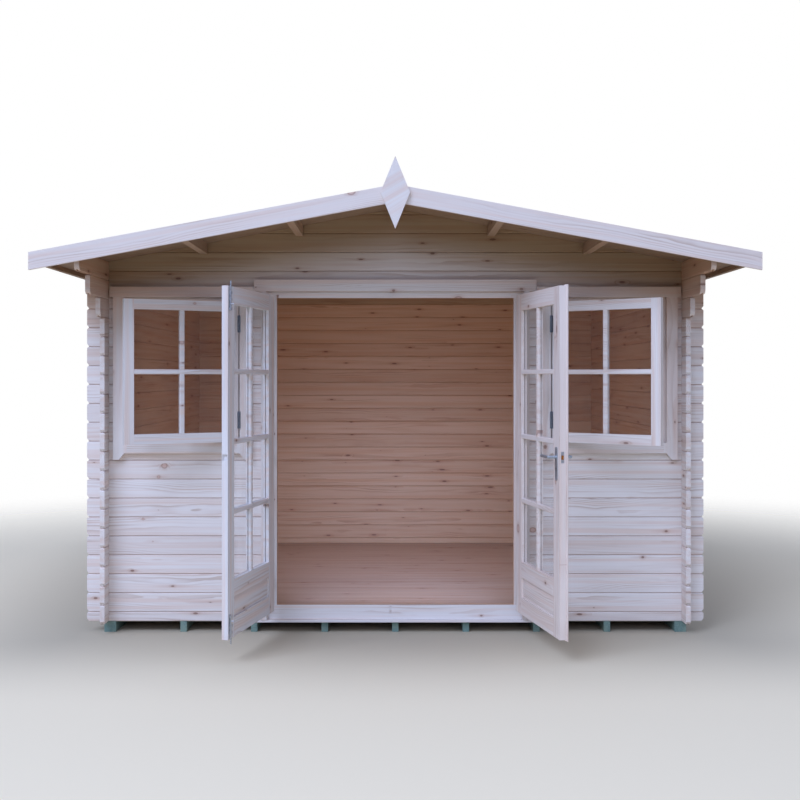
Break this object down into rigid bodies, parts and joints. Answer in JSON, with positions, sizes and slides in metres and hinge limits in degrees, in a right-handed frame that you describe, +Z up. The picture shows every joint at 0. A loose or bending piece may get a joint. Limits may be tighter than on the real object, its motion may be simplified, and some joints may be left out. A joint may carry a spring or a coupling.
{
  "type": "log cabin",
  "caption": "Small garden log cabin with interlocking log walls, a low gable roof, glazed double doors that swing outwards and a casement window each side.",
  "frame": {"origin": "on the ground under the middle of the walls, on the bottom face of the middle bearer", "axes": "+X to the right as seen from the front, +Y from the doors to the back wall, +Z up"},
  "size_m": [3.974, 4.1103, 2.7269],
  "materials": {
    "pine": "bare planed pine",
    "treated_timber": "green pressure-treated softwood",
    "glass": "clear float glass",
    "steel": "zinc plated",
    "brass": "tarnished"
  },
  "bodies": {
    "cabin": {"floor_bearers": "treated_timber", "edge_bearers": "treated_timber", "floor": "pine", "front_wall_left": "pine", "front_wall_right": "pine", "front_gable": "pine", "back_wall": "pine", "back_gable": "pine", "left_wall": "pine", "right_wall": "pine", "purlins": "pine", "left_roof": "pine", "right_roof": "pine", "eaves_trims": "pine", "front_bargeboards": "pine", "back_bargeboards": "pine", "finial": "pine", "door_frame": "pine", "door_sill": "pine", "door_threshold": "pine", "door_casing": "pine", "left_hinge_pins": "steel", "right_hinge_pins": "steel", "left_window_frame": "pine", "left_window_casing": "pine", "left_sash": "pine", "left_sash_glass": "glass", "left_sash_hinges": "steel", "right_window_frame": "pine", "right_window_casing": "pine", "right_sash": "pine", "right_sash_glass": "glass", "right_sash_hinges": "steel"},
    "left_door": {"left_leaf": "pine", "left_leaf_panel": "pine", "left_leaf_glass": "glass", "left_leaf_hinges": "steel", "left_leaf_bolts": "steel"},
    "right_door": {"right_leaf": "pine", "right_leaf_panel": "pine", "right_leaf_glass": "glass", "right_leaf_hinges": "steel", "right_leaf_handles": "steel", "right_leaf_lock": "brass", "right_leaf_strip": "pine"}
  },
  "joints": [
    {"name": "left_door_hinge", "type": "hinge", "parent": "cabin", "child": "left_door", "pos_m": [-0.76, -1.586, 0.136], "axis": [0, 0, -1], "range_deg": [-102.7, 27.3]},
    {"name": "right_door_hinge", "type": "hinge", "parent": "cabin", "child": "right_door", "pos_m": [0.76, -1.586, 0.136], "axis": [0, 0, 1], "range_deg": [-101.4, 28.6]}
  ]
}
